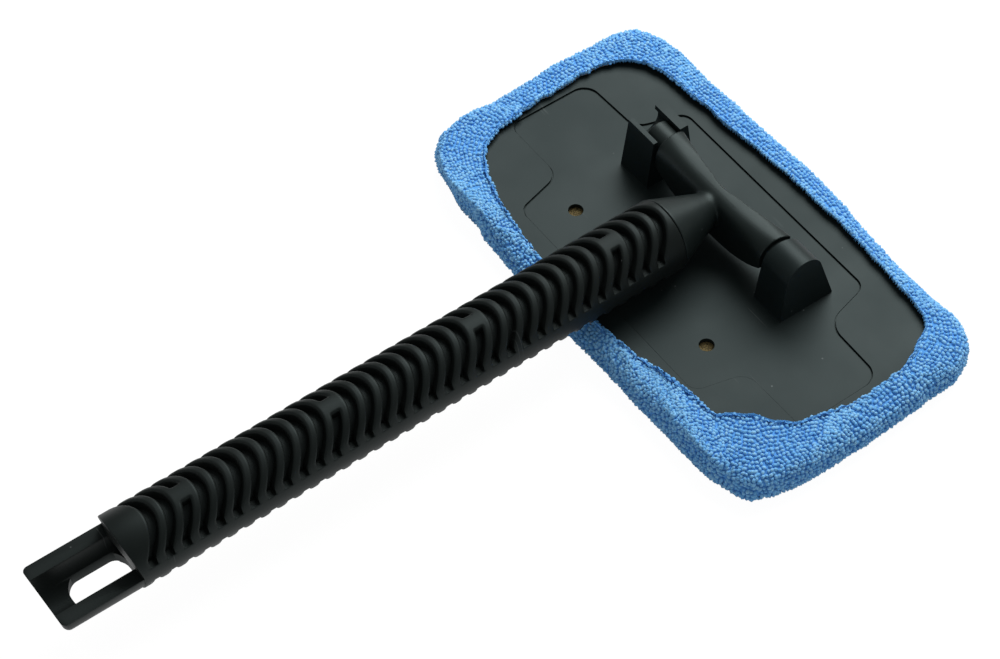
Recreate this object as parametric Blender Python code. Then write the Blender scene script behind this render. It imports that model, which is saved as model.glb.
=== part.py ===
"""A window and windscreen cleaner: a flat head with a looped cloth cover, and a ribbed handle.

The head is a moulded plate with a sponge under it and a microfibre cover stretched round both.
The handle's T-shaped yoke turns in a closed socket at one end and snaps into an open clip at the other.
The frame's origin is the middle of the wiping face. +X runs along the head, +Y away from the
handle and +Z up, so the handle lies along -Y.
"""
import math

import bmesh
import bpy
from mathutils import Matrix, Vector

MM = 0.001

# Clearances between pieces
FACE_GAP = 0.3 * MM
RUNNING_GAP = 0.3 * MM
SIDE_PLAY = 0.6 * MM

# Cover
COVER_LENGTH = 242.4 * MM
COVER_WIDTH = 135.8 * MM
COVER_CORNER = 27.7 * MM
COVER_FLOOR = 3.9 * MM
COVER_WALL = 4.0 * MM
COVER_FLOOR_FILLET = 1.2 * MM
HEM_REACH_END = 14.2 * MM
HEM_REACH_SIDE = 10.9 * MM
OPENING_SHIFT = -2.6 * MM
OPENING_CORNER_FAR = 28.0 * MM
OPENING_CORNER_NEAR_CLIP = 38.0 * MM
OPENING_CORNER_NEAR_SOCKET = 46.0 * MM
HEM_RISE = 2.5 * MM
HEM_PRESSED = 1.5 * MM
HEM_PRESS_REACH = 30.0 * MM
HEM_BODY = 2.6 * MM
HEM_SHOULDER = 2.2 * MM
HEM_LIP = 0.4 * MM

# The cover's rolled side, in shares of its reach under the head and of the cover's height
ROLL_REACH = 11.0 * MM
ROLL_SHARES = ((1.0, 0.0), (0.51, 0.02), (0.18, 0.126), (0.02, 0.287), (0.0, 0.448), (0.036, 0.632))

# Elastic and overcast edging of the cover's hem
ELASTIC_WIDTH = 2.2 * MM
ELASTIC_THICKNESS = 0.5 * MM
EDGING_THICKNESS = 0.7 * MM

# Sponge and plate
PAD_THICKNESS = 7.0 * MM
PLATE_THICKNESS = 3.1 * MM
PLATE_EDGE_ROUND = 0.6 * MM
PAD_INSET = 1.5 * MM

# Cross-shaped recess in the plate
RECESS_DEPTH = 0.8 * MM
RECESS_FAR = 45.1 * MM
RECESS_NEAR = -49.8 * MM
RECESS_HALF_TOP = 63.0 * MM
RECESS_HALF_SIDE = 67.6 * MM
TONGUE_FAR = 19.2 * MM
TONGUE_NEAR = -24.3 * MM
TONGUE_HALF_LENGTH = 103.2 * MM
RECESS_CORNER = 5.0 * MM
RECESS_FILLET = 9.0 * MM

# Two small holes through the plate
PLATE_HOLE_RADIUS = 3.4 * MM
PLATE_HOLE_X = 46.2 * MM
PLATE_HOLE_Y = -29.6 * MM

# Pivot of the handle on the head
PIVOT_Y = 15.2 * MM
GRIP_ROOM = 1.0 * MM
HANDLE_DROOP = 0.5
STUB_RADIUS = 7.0 * MM
BRACKET_OUTER = 53.8 * MM
BRACKET_INNER = 37.4 * MM
BRACKET_DRAFT = 1.9 * MM
BRACKET_BASE = 14.4 * MM
SOCKET_ARCH = 9.8 * MM
SOCKET_END_WALL = 2.4 * MM
EAR_HEIGHT = 7.7 * MM
EAR_TOP = 9.6 * MM
HOOK_REACH = 2.1 * MM
CLIP_STUB_LENGTH = 10.2 * MM

# Yoke
BAR_RADIUS = 9.3 * MM
BAR_FLAT_END = 4.5 * MM
BAR_FLAT_MIDDLE = -0.4 * MM
SKIRT_END = 5.5 * MM
SKIRT_MIDDLE = 14.6 * MM
NECK_END = 33.4 * MM
NECK_STEP = 0.5 * MM
NECK_ROOT_HALF = 7.0 * MM
SPIGOT_RADIUS = 9.0 * MM
SPIGOT_LENGTH = 22.0 * MM
JOINT_DEPTH = 1.0 * MM

# Grip
GRIP_RADIUS = 17.0 * MM
START_COLLAR = 6.7 * MM
END_COLLAR = 13.22 * MM
SLOT_COUNT = 33
SLOT_PITCH = 7.84 * MM
SLOT_WIDTH = 4.4 * MM
SLOT_FLOOR_WIDTH = 2.2 * MM
SLOT_DEPTH = 4.5 * MM
SLOT_ARC = 18.4 * MM
SLOT_ARC_REACH = 15.1 * MM
BRIDGE_FIRST = 3
BRIDGE_EVERY = 9
BRIDGE_HALF_ANGLE = 10.0
BRIDGE_RAMP_ANGLE = 7.0
SLOT_END_ANGLE = 13.0
SLOT_FULL_ANGLE = 25.0
GRIP_CHAMFER = 0.5 * MM
CORE_END_WALL = 10.0 * MM

# Gutter tail with its hanging slot
TAIL_LENGTH = 37.0 * MM
TAIL_STEP = 0.6 * MM
TROUGH_RADIUS = 10.5 * MM
TAIL_LIP = 0.6 * MM
END_RAKE = 0.2
TAIL_ROOT = 2.0 * MM
POCKET_DEPTH = 5.6 * MM
HANG_SLOT_UNDERCUT = 2.2 * MM
HANG_SLOT_TO_TIP = 9.6 * MM
HANG_SLOT_HALF_WIDTH = 7.5 * MM
HANG_SLOT_CORNER = 6.0 * MM

# Sizes that follow from the cover and from the stack of floor, sponge and plate
OPENING_LENGTH = COVER_LENGTH - 2 * HEM_REACH_END
OPENING_WIDTH = COVER_WIDTH - 2 * HEM_REACH_SIDE
PAD_BOTTOM = COVER_FLOOR + FACE_GAP
PLATE_BOTTOM = PAD_BOTTOM + PAD_THICKNESS + FACE_GAP
PLATE_TOP = PLATE_BOTTOM + PLATE_THICKNESS
RECESS_FLOOR = PLATE_TOP - RECESS_DEPTH
PLATE_INSET = COVER_WALL + FACE_GAP
BORE_RADIUS = STUB_RADIUS + RUNNING_GAP
ELASTIC_BOTTOM = PLATE_TOP + FACE_GAP
ELASTIC_TOP = ELASTIC_BOTTOM + ELASTIC_THICKNESS
HEM_UNDERSIDE = ELASTIC_TOP + FACE_GAP
PIVOT_Z = ELASTIC_BOTTOM + HEM_PRESSED + GRIP_ROOM + GRIP_RADIUS

# Sizes that follow along the handle
NECK_RADIUS = GRIP_RADIUS - NECK_STEP
TAIL_RADIUS = GRIP_RADIUS - TAIL_STEP
SLOT_FIRST = NECK_END + START_COLLAR
GRIP_END = SLOT_FIRST + SLOT_PITCH * (SLOT_COUNT - 1) + END_COLLAR
TAIL_END = GRIP_END + TAIL_LENGTH

CORNER_STEPS = 7
SIDE_STEPS = 6
GRIP_STEPS = 3


def clear_scene():
    for old in list(bpy.data.objects):
        bpy.data.objects.remove(old, do_unlink=True)


def material(name, colour, roughness, metallic=0.0):
    made = bpy.data.materials.new(name)
    made.use_nodes = True
    shader = made.node_tree.nodes["Principled BSDF"]
    shader.inputs["Base Color"].default_value = (*colour, 1.0)
    shader.inputs["Roughness"].default_value = roughness
    shader.inputs["Metallic"].default_value = metallic
    return made


def mesh_object(name, bm, finish=None, smooth_below=35.0):
    """Turns a bmesh into an object with outward faces, smooth on its round stretches."""
    bmesh.ops.recalc_face_normals(bm, faces=bm.faces)
    mesh = bpy.data.meshes.new(name)
    bm.to_mesh(mesh)
    bm.free()
    mesh.shade_smooth()
    mesh.set_sharp_from_angle(angle=math.radians(smooth_below))
    made = bpy.data.objects.new(name, mesh)
    bpy.context.scene.collection.objects.link(made)
    if finish:
        mesh.materials.append(finish)
    return made


def loft(rings, closed=False):
    """A skin over rings of equal count, capped at both ends or closed on itself."""
    bm = bmesh.new()
    rows = [[bm.verts.new(point) for point in ring] for ring in rings]
    count = len(rows[0])
    pairs = list(zip(rows, rows[1:]))
    if closed:
        pairs.append((rows[-1], rows[0]))
    for low, high in pairs:
        for k in range(count):
            after = (k + 1) % count
            bm.faces.new((low[k], low[after], high[after], high[k]))
    if not closed:
        bm.faces.new(rows[0])
        bm.faces.new(rows[-1])
    return bm


def arc(centre, radius, start, end, steps):
    """Points on an arc in a plane, angles in degrees."""
    points = []
    for k in range(steps + 1):
        angle = math.radians(start + (end - start) * k / steps)
        points.append((centre[0] + radius * math.cos(angle), centre[1] + radius * math.sin(angle)))
    return points


def rounded_polygon(corners, steps):
    """An outline from (x, y, radius) corners, each rounded by a tangent arc, inner corners too."""
    points = []
    count = len(corners)
    for k, (x, y, radius) in enumerate(corners):
        here = Vector((x, y))
        back = (Vector(corners[k - 1][:2]) - here).normalized()
        ahead = (Vector(corners[(k + 1) % count][:2]) - here).normalized()
        half = back.angle(ahead) / 2.0
        reach = radius / math.tan(half)
        centre = here + (back + ahead).normalized() * (radius / math.sin(half))
        start = here + back * reach - centre
        turn = (here + ahead * reach - centre).angle_signed(start)
        for step in range(steps + 1):
            spin = Matrix.Rotation(turn * step / steps, 2)
            points.append(tuple(centre + spin @ start))
    return points


def ring_outline(half_x, half_y, radii, shift_y=0.0):
    """A rounded rectangle whose sides are divided too, so that two of them can be bridged.

    radii are those of the far socket, far clip, near clip and near socket corners.
    """
    signs = ((1, 1), (-1, 1), (-1, -1), (1, -1))
    corners = []
    for (sx, sy), radius, start in zip(signs, radii, (0, 90, 180, 270)):
        centre = (sx * (half_x - radius), sy * (half_y - radius) + shift_y)
        corners.append(arc(centre, radius, start, start + 90, CORNER_STEPS))
    points = []
    for k, corner in enumerate(corners):
        points += corner
        last = Vector(corner[-1])
        following = Vector(corners[(k + 1) % 4][0])
        parts = SIDE_STEPS if k % 2 == 0 else SIDE_STEPS // 2
        points += [tuple(last.lerp(following, n / parts)) for n in range(1, parts)]
    return points


def cover_outline(inset):
    """The cover's outer outline, moved inwards."""
    return ring_outline(COVER_LENGTH / 2 - inset, COVER_WIDTH / 2 - inset, (COVER_CORNER - inset,) * 4)


def opening_outline(grow=0.0):
    """The cover's opening, moved outwards."""
    radii = (OPENING_CORNER_FAR, OPENING_CORNER_FAR, OPENING_CORNER_NEAR_CLIP, OPENING_CORNER_NEAR_SOCKET)
    return ring_outline(
        OPENING_LENGTH / 2 + grow,
        OPENING_WIDTH / 2 + grow,
        tuple(radius + grow for radius in radii),
        OPENING_SHIFT,
    )


def prism(outline, low, high):
    return loft([[(x, y, z) for x, y in outline] for z in (low, high)])


def along_x(profile, start, end, draft_start=0.0, draft_end=0.0):
    """A profile in Y and Z drawn along X; a draft leans an end face outwards towards the base."""
    base = min(z for _, z in profile)
    top = max(z for _, z in profile)
    rings = []
    for place, draft in ((start, draft_start), (end, draft_end)):
        rings.append([(place + draft * (top - z) / (top - base), y, z) for y, z in profile])
    return loft(rings)


def along_y(rings):
    """Rings given as (distance from the pivot, [(x, z), ...]) drawn towards the handle's tail."""
    return loft([[(x, -distance, z) for x, z in ring] for distance, ring in rings])


def ellipse(half_x, half_z, steps=24):
    return [
        (half_x * math.cos(2 * math.pi * k / steps), half_z * math.sin(2 * math.pi * k / steps))
        for k in range(steps)
    ]


def cylinder_x(radius, start, end, y=0.0, z=0.0, steps=24):
    return along_x([(y + a, z + b) for a, b in ellipse(radius, radius, steps)], start, end)


def cylinder_z(radius, x, y, low, high, steps=20):
    return prism([(x + a, y + b) for a, b in ellipse(radius, radius, steps)], low, high)


def combine(body, bm, name, operation):
    """Joins a shape to a body, or cuts it out, by a modifier; the shape itself is only shown as wires."""
    other = mesh_object(name, bm)
    other.hide_render = True
    other.display_type = "WIRE"
    other.parent = body
    step = body.modifiers.new(name, "BOOLEAN")
    step.operation = operation
    step.solver = "EXACT"
    step.object = other


def round_edges(body, width):
    step = body.modifiers.new("edge_rounding", "BEVEL")
    step.width = width
    step.segments = 1
    step.limit_method = "ANGLE"
    step.angle_limit = math.radians(40.0)


def build_foam_pad(finish):
    """The sponge between the cover's floor and the plate."""
    outline = cover_outline(PLATE_INSET + PAD_INSET)
    return mesh_object("foam_pad", prism(outline, PAD_BOTTOM, PAD_BOTTOM + PAD_THICKNESS), finish)


def recess_outline():
    """A cross: a wide block with a shorter tongue at each end, all corners round."""
    half = [
        (TONGUE_HALF_LENGTH, TONGUE_NEAR, RECESS_CORNER),
        (TONGUE_HALF_LENGTH, TONGUE_FAR, RECESS_CORNER),
        (RECESS_HALF_SIDE, TONGUE_FAR, RECESS_FILLET),
        (RECESS_HALF_TOP, RECESS_FAR, RECESS_CORNER),
    ]
    low = [
        (RECESS_HALF_TOP, RECESS_NEAR, RECESS_CORNER),
        (RECESS_HALF_SIDE, TONGUE_NEAR, RECESS_FILLET),
    ]
    right = low + half
    left = [(-x, y, radius) for x, y, radius in reversed(right)]
    return rounded_polygon(right + left, 5)


def socket_profile():
    """The closed bracket's section: flared sides that run into an arch round the pivot."""
    centre = (PIVOT_Y, PIVOT_Z)
    drop = PIVOT_Z - PLATE_TOP
    reach = math.hypot(BRACKET_BASE, drop)
    tangent = math.degrees(math.acos(SOCKET_ARCH / reach) - math.atan2(drop, BRACKET_BASE))
    base = PLATE_TOP - PLATE_THICKNESS / 2
    points = [(PIVOT_Y - BRACKET_BASE, base), (PIVOT_Y + BRACKET_BASE, base)]
    points.append((PIVOT_Y + BRACKET_BASE, PLATE_TOP))
    points += arc(centre, SOCKET_ARCH, tangent, 180 - tangent, 12)
    points.append((PIVOT_Y - BRACKET_BASE, PLATE_TOP))
    return points


def clip_profile():
    """The open bracket's section: a plain ear on the handle's side and a hooked ear behind."""
    base = PLATE_TOP - PLATE_THICKNESS / 2
    top = PIVOT_Z + EAR_HEIGHT
    hook = BORE_RADIUS - HOOK_REACH
    lift = math.sqrt(BORE_RADIUS**2 - hook**2)
    mouth = math.degrees(math.atan2(lift, hook))
    points = [(PIVOT_Y - BRACKET_BASE, base), (PIVOT_Y + BRACKET_BASE, base)]
    points.append((PIVOT_Y + BRACKET_BASE, PLATE_TOP))
    points.append((PIVOT_Y + EAR_TOP, top))
    points.append((PIVOT_Y + hook, top))
    points += arc((PIVOT_Y, PIVOT_Z), BORE_RADIUS, mouth, -180, 14)
    points.append((PIVOT_Y - BORE_RADIUS, top))
    points.append((PIVOT_Y - EAR_TOP, top))
    points.append((PIVOT_Y - BRACKET_BASE, PLATE_TOP))
    return points


def build_head_plate(finish):
    """The moulded plate with its recess, two holes, closed socket and open clip."""
    outline = cover_outline(PLATE_INSET)
    plate = mesh_object("head_plate", prism(outline, PLATE_BOTTOM, PLATE_TOP), finish)
    round_edges(plate, PLATE_EDGE_ROUND)
    over = PLATE_TOP + PLATE_THICKNESS
    combine(plate, prism(recess_outline(), RECESS_FLOOR, over), "recess_cutter", "DIFFERENCE")
    socket = along_x(socket_profile(), BRACKET_INNER, BRACKET_OUTER, 0.0, BRACKET_DRAFT)
    combine(plate, socket, "socket_block", "UNION")
    clip = along_x(clip_profile(), -BRACKET_OUTER, -BRACKET_INNER, -BRACKET_DRAFT, 0.0)
    combine(plate, clip, "clip_block", "UNION")
    bore_end = BRACKET_OUTER - SOCKET_END_WALL
    bore = cylinder_x(BORE_RADIUS, BRACKET_INNER - SIDE_PLAY, bore_end, PIVOT_Y, PIVOT_Z)
    combine(plate, bore, "socket_bore", "DIFFERENCE")
    for side in (-1, 1):
        hole = cylinder_z(PLATE_HOLE_RADIUS, side * PLATE_HOLE_X, PLATE_HOLE_Y, PLATE_BOTTOM - MM, over)
        combine(plate, hole, "plate_hole", "DIFFERENCE")
    return plate


def hem_top(x, y):
    """Height of the hem's crown, pressed down where the handle lies on it."""
    share = max(0.0, 1.0 - abs(x) / HEM_PRESS_REACH) if y < 0.0 else 0.0
    return ELASTIC_BOTTOM + HEM_RISE + (HEM_PRESSED - HEM_RISE) * share


def cover_section(width, top):
    """The cover's outer surface as (distance in from the rim, height) points."""
    crown = min(COVER_WALL + HEM_BODY, width - HEM_BODY / 2)
    points = [(ROLL_REACH * reach, top * rise) for reach, rise in ROLL_SHARES]
    points.append((HEM_SHOULDER, top - HEM_SHOULDER))
    points.append((crown, top))
    points.append((width - HEM_LIP, top - HEM_LIP / 3))
    points.append((width, (top + HEM_UNDERSIDE) / 2))
    points.append((width - HEM_LIP, HEM_UNDERSIDE))
    return points


def ring_solid(name, rings, finish, capped=False):
    """A skin round a loop of equal sections; capped closes the loops at both section ends."""
    bm = bmesh.new()
    rows = [[bm.verts.new(point) for point in ring] for ring in rings]
    count = len(rows)
    last = len(rows[0]) - 1
    for k in range(count):
        here, there = rows[k], rows[(k + 1) % count]
        for n in range(last):
            bm.faces.new((here[n], there[n], there[n + 1], here[n + 1]))
        if not capped:
            bm.faces.new((here[last], there[last], there[0], here[0]))
    if capped:
        bm.faces.new([row[0] for row in rows])
        bm.faces.new([row[last] for row in rows])
    return mesh_object(name, bm, finish, 50.0)


def build_bonnet(finish):
    """The cloth cover: flat wiping face, rolled sides and a hem that reaches over the plate."""
    outer = cover_outline(0.0)
    opening = opening_outline()
    wall = cover_outline(COVER_WALL)
    floor = cover_outline(COVER_WALL + COVER_FLOOR_FILLET)
    rings = []
    for rim, lip, side, foot in zip(outer, opening, wall, floor):
        rim = Vector(rim)
        inwards = Vector(lip) - rim
        section = cover_section(inwards.length, hem_top(*rim))
        inwards.normalize()
        ring = [(*(rim + inwards * depth), z) for depth, z in section]
        ring.append((*side, HEM_UNDERSIDE))
        ring.append((*side, COVER_FLOOR + COVER_FLOOR_FILLET))
        ring.append((*foot, COVER_FLOOR))
        rings.append(ring)
    return ring_solid("bonnet", rings, finish, capped=True)


def hem_band(name, first, width, low, high, finish):
    """A flat band that follows the opening, from first to first + width outwards of its edge."""
    rings = []
    for (ax, ay), (bx, by) in zip(opening_outline(first), opening_outline(first + width)):
        rings.append([(ax, ay, low), (bx, by, low), (bx, by, high), (ax, ay, high)])
    return ring_solid(name, rings, finish)


def slot_offset(x):
    """How far a slot lies towards the tail at a distance x from the grip's middle plane."""
    reach = min(abs(x), SLOT_ARC_REACH)
    return SLOT_ARC - math.sqrt(SLOT_ARC**2 - reach**2)


def slot_share(angle, bridged):
    """1 where a slot has its full depth and 0 on the side webs and the bridges."""
    from_web = min(angle % 180.0, 180.0 - angle % 180.0)
    ramp = (from_web - SLOT_END_ANGLE) / (SLOT_FULL_ANGLE - SLOT_END_ANGLE)
    if bridged:
        ramp = min(ramp, (90.0 - BRIDGE_HALF_ANGLE - from_web) / BRIDGE_RAMP_ANGLE)
    return min(max(ramp, 0.0), 1.0)


def grip_angles():
    """Angles round the grip, closer together at the slots' ends and beside the bridges."""
    bridge = 90.0 - BRIDGE_HALF_ANGLE
    step = (bridge - BRIDGE_RAMP_ANGLE - SLOT_FULL_ANGLE) / GRIP_STEPS
    quarter = [0.0, SLOT_END_ANGLE]
    quarter += [SLOT_FULL_ANGLE + step * k for k in range(GRIP_STEPS + 1)]
    quarter.append(bridge)
    half = quarter + [180.0 - angle for angle in reversed(quarter[1:])]
    return half + [180.0 + angle for angle in half]


def grip_ring(distance, depth, bridged, arched=True):
    ring = []
    for angle in grip_angles():
        turn = math.radians(angle)
        radius = GRIP_RADIUS - depth * slot_share(angle, bridged)
        along = distance + (slot_offset(GRIP_RADIUS * math.cos(turn)) if arched else 0.0)
        ring.append((radius * math.cos(turn), -along, radius * math.sin(turn)))
    return ring


def end_ring(distance, inset, rake=0.0):
    """A plain round ring; a rake sets its upper half further towards the tail."""
    radius = GRIP_RADIUS - inset
    ring = []
    for angle in grip_angles():
        x = radius * math.cos(math.radians(angle))
        z = radius * math.sin(math.radians(angle))
        ring.append((x, -(distance + rake * max(z, 0.0)), z))
    return ring


def grip_body():
    """A round bar with arched slots sunk from above and below, between plain side webs."""
    start = NECK_END + FACE_GAP
    rings = [end_ring(start, GRIP_CHAMFER), end_ring(start + GRIP_CHAMFER, 0.0)]
    for k in range(SLOT_COUNT):
        middle = SLOT_FIRST + SLOT_PITCH * k
        from_tail = SLOT_COUNT - k
        bridged = from_tail % BRIDGE_EVERY == BRIDGE_FIRST
        mouth = SLOT_WIDTH / 2
        floor = SLOT_FLOOR_WIDTH / 2
        for shift, depth in ((-mouth, 0.0), (-floor, SLOT_DEPTH), (floor, SLOT_DEPTH), (mouth, 0.0)):
            rings.append(grip_ring(middle + shift, depth, bridged))
    rings.append(end_ring(GRIP_END, 0.0, END_RAKE))
    return loft(rings)


def tail_ring(distance, outer_radius):
    """A gutter section: flat rims level with the grip's axis, its floor nearer the grip by the rake."""
    outline = arc((0.0, 0.0), outer_radius, 180, 360, 16)
    outline += arc((0.0, 0.0), TROUGH_RADIUS, 360, 180, 12)
    rake = END_RAKE if distance > GRIP_END else 0.0
    return [(x, -(distance + rake * z), z) for x, z in outline]


def tail_body():
    """A half-round gutter whose outside is rounded in to a thin lip at the tip."""
    corner = TAIL_RADIUS - TROUGH_RADIUS - TAIL_LIP
    rings = [tail_ring(GRIP_END - TAIL_ROOT, TAIL_RADIUS)]
    for along, out in arc((TAIL_END - corner, TAIL_RADIUS - corner), corner, 90, 0, 5):
        rings.append(tail_ring(along, out))
    return loft(rings)


def hang_slot():
    """The hanging slot through the gutter's floor; its near end lies under the grip."""
    half = HANG_SLOT_HALF_WIDTH
    start = -(GRIP_END - HANG_SLOT_UNDERCUT)
    end = -(TAIL_END - HANG_SLOT_TO_TIP)
    places = [(half, start), (-half, start), (-half, end), (half, end)]
    outline = rounded_polygon([(x, y, HANG_SLOT_CORNER) for x, y in places], 5)
    return prism(outline, -2 * TAIL_RADIUS, -TAIL_LIP)


def pocket():
    """Carries the trough on into the grip's end, below the level of the rims."""
    outline = arc((0.0, 0.0), TROUGH_RADIUS, 360, 180, 12)
    return along_y([(GRIP_END - POCKET_DEPTH, outline), (GRIP_END + TAIL_ROOT, outline)])


def build_handle(finish, pivot):
    """Grip and gutter tail in one moulding, hollow, with the yoke's spigot in its near end."""
    handle = mesh_object("handle", grip_body(), finish)
    combine(handle, tail_body(), "gutter_tail", "UNION")
    combine(handle, pocket(), "trough_pocket", "DIFFERENCE")
    combine(handle, hang_slot(), "hang_slot_cutter", "DIFFERENCE")
    core = ellipse(SPIGOT_RADIUS + RUNNING_GAP, SPIGOT_RADIUS + RUNNING_GAP)
    core_body = along_y([(NECK_END - MM, core), (GRIP_END - CORE_END_WALL, core)])
    combine(handle, core_body, "hollow_core", "DIFFERENCE")
    handle.parent = pivot
    return handle


def bar_ring(x):
    """The crossbar's section: a round top, a flat scooped far side and a skirt on the handle's side."""
    share = (x / (BRACKET_INNER - SIDE_PLAY)) ** 2
    far = BAR_FLAT_MIDDLE + (BAR_FLAT_END - BAR_FLAT_MIDDLE) * share
    skirt = SKIRT_MIDDLE + (SKIRT_END - SKIRT_MIDDLE) * math.sqrt(share)
    crest = math.degrees(math.acos(far / BAR_RADIUS))
    profile = arc((0.0, 0.0), BAR_RADIUS, crest, 180, 10)
    profile += [(-BAR_RADIUS, -skirt), (far, -skirt)]
    return [(x, y, z) for y, z in profile]


def crossbar():
    half = BRACKET_INNER - SIDE_PLAY
    steps = 12
    return loft([bar_ring(half * (2.0 * k / steps - 1.0)) for k in range(steps + 1)])


def neck_body():
    """The neck from inside the crossbar to the round joint with the grip."""
    rings = [(0.0, ellipse(NECK_ROOT_HALF, BAR_RADIUS - GRIP_CHAMFER))]
    rings.append((BAR_RADIUS, ellipse(NECK_ROOT_HALF, BAR_RADIUS - GRIP_CHAMFER)))
    rings.append((NECK_END - GRIP_CHAMFER, ellipse(NECK_RADIUS, NECK_RADIUS)))
    lip = NECK_RADIUS - GRIP_CHAMFER
    rings.append((NECK_END, ellipse(lip, lip)))
    return along_y(rings)


def build_yoke(finish, pivot):
    """The T-shaped yoke: crossbar, two stubs to turn on, neck and spigot."""
    yoke = mesh_object("yoke", crossbar(), finish)
    combine(yoke, neck_body(), "neck", "UNION")
    spigot = ellipse(SPIGOT_RADIUS, SPIGOT_RADIUS)
    spigot_end = NECK_END + SPIGOT_LENGTH
    combine(yoke, along_y([(NECK_END - JOINT_DEPTH, spigot), (spigot_end, spigot)]), "spigot", "UNION")
    bar_end = BRACKET_INNER - SIDE_PLAY
    stub_end = BRACKET_OUTER - SOCKET_END_WALL - SIDE_PLAY
    combine(yoke, cylinder_x(STUB_RADIUS, bar_end - JOINT_DEPTH, stub_end), "socket_stub", "UNION")
    clip_end = -bar_end - CLIP_STUB_LENGTH
    combine(yoke, cylinder_x(STUB_RADIUS, clip_end, -bar_end + JOINT_DEPTH), "clip_stub", "UNION")
    yoke.parent = pivot
    return yoke


def build_pivot():
    """The hinge's axis: what is on it lies along -Y and turns about X."""
    pivot = bpy.data.objects.new("head_pivot", None)
    bpy.context.scene.collection.objects.link(pivot)
    pivot.location = (0.0, PIVOT_Y, PIVOT_Z)
    pivot.rotation_euler = (math.radians(HANDLE_DROOP), 0.0, 0.0)
    return pivot


def build():
    clear_scene()
    plate_plastic = material("plate_plastic", (0.030, 0.037, 0.037), 0.42)
    handle_plastic = material("handle_plastic", (0.010, 0.011, 0.011), 0.38)
    yoke_plastic = material("yoke_plastic", (0.020, 0.023, 0.023), 0.40)
    terry = material("microfibre_loops", (0.060, 0.260, 0.690), 0.90)
    sponge = material("sponge", (0.350, 0.290, 0.140), 0.95)
    rubber = material("elastic_rubber", (0.620, 0.640, 0.660), 0.70)
    thread = material("edging_thread", (0.300, 0.500, 0.800), 0.80)
    pivot = build_pivot()
    build_foam_pad(sponge)
    build_head_plate(plate_plastic)
    build_bonnet(terry)
    hem_band("hem_elastic", FACE_GAP, ELASTIC_WIDTH, ELASTIC_BOTTOM, ELASTIC_TOP, rubber)
    edge = -(EDGING_THICKNESS + FACE_GAP)
    hem_band("hem_edging", edge, EDGING_THICKNESS, ELASTIC_BOTTOM, ELASTIC_BOTTOM + HEM_PRESSED, thread)
    build_yoke(yoke_plastic, pivot)
    build_handle(handle_plastic, pivot)


build()
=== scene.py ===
"""Looks of the window cleaner: the cover's looped pile, the plastics, the floor, light and camera.

Lengths are in metres. The handle's pieces are first made lying along -Y from the hinge's axis and
then set down on it.
"""
import math

import bpy
import numpy as np
from mathutils import Matrix, Vector


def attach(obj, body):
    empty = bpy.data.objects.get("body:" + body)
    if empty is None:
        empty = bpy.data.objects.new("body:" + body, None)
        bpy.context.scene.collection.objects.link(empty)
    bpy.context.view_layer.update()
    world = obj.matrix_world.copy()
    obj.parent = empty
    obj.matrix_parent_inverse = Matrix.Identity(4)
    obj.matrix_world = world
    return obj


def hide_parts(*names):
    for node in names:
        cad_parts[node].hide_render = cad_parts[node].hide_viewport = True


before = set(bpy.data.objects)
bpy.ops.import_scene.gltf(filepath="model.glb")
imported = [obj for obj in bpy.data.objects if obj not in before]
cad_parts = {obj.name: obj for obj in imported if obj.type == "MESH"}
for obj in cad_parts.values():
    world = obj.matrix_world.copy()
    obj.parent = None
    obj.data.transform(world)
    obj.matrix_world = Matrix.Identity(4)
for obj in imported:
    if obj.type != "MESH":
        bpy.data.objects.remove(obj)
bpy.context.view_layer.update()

MM = 0.001

# Cover, sponge and plate
COVER_HALF_LENGTH = 121.2 * MM
COVER_HALF_WIDTH = 67.9 * MM
COVER_CORNER = 27.7 * MM
COVER_WALL = 4.0 * MM
COVER_FLOOR = 3.9 * MM
COVER_FLOOR_CORNER = 1.2 * MM
OPENING_HALF_LENGTH = 107.0 * MM
OPENING_HALF_WIDTH = 57.0 * MM
OPENING_SHIFT = -2.6 * MM
OPENING_CORNERS = (28.0 * MM, 28.0 * MM, 38.0 * MM, 46.0 * MM)
HEM_TOP = 17.4 * MM
HEM_PRESSED_TOP = 16.4 * MM
HEM_UNDERSIDE = 15.7 * MM
FAR_HEM_LIFT = 0.9 * MM
HEM_PRESS_REACH = 30.0 * MM
FLAT_FACE_INSET = 11.0 * MM
PAD_BOTTOM = 4.2 * MM
PAD_TOP = 11.2 * MM
PAD_INSET = 8.2 * MM
PAD_TUCKED_CORNER = 50.0 * MM
PLATE_BOTTOM = 11.5 * MM
PLATE_TOP = 14.6 * MM
PLATE_INSET = 6.9 * MM
PLATE_TUCKED_CORNER = 46.0 * MM
HOLE_RADIUS = 3.4 * MM
HOLE_X = 46.2 * MM
HOLE_Y = -29.6 * MM
RECESS_FLOOR = 13.8 * MM

# Hinge and brackets
PIVOT_Y = 15.2 * MM
PIVOT_Z = 34.4 * MM
HANDLE_DROOP = math.radians(0.5)
STUB_RADIUS = 7.0 * MM
BORE_RADIUS = 7.3 * MM
BRACKET_OUTER = 53.8 * MM
BRACKET_INNER = 37.4 * MM
SOCKET_SETBACK = 1.1 * MM
SOCKET_DRAFT = 1.9 * MM
CLIP_SHIFT = 1.4 * MM
CLIP_DRAFT = 1.0 * MM
END_TURN = 0.11
BRACKET_NEAR_BASE = 12.0 * MM
BRACKET_FAR_BASE = 16.8 * MM
CLIP_FAR_BASE = 14.4 * MM
SOCKET_ARCH = 9.8 * MM
SOCKET_BORE_END = 51.4 * MM

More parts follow.
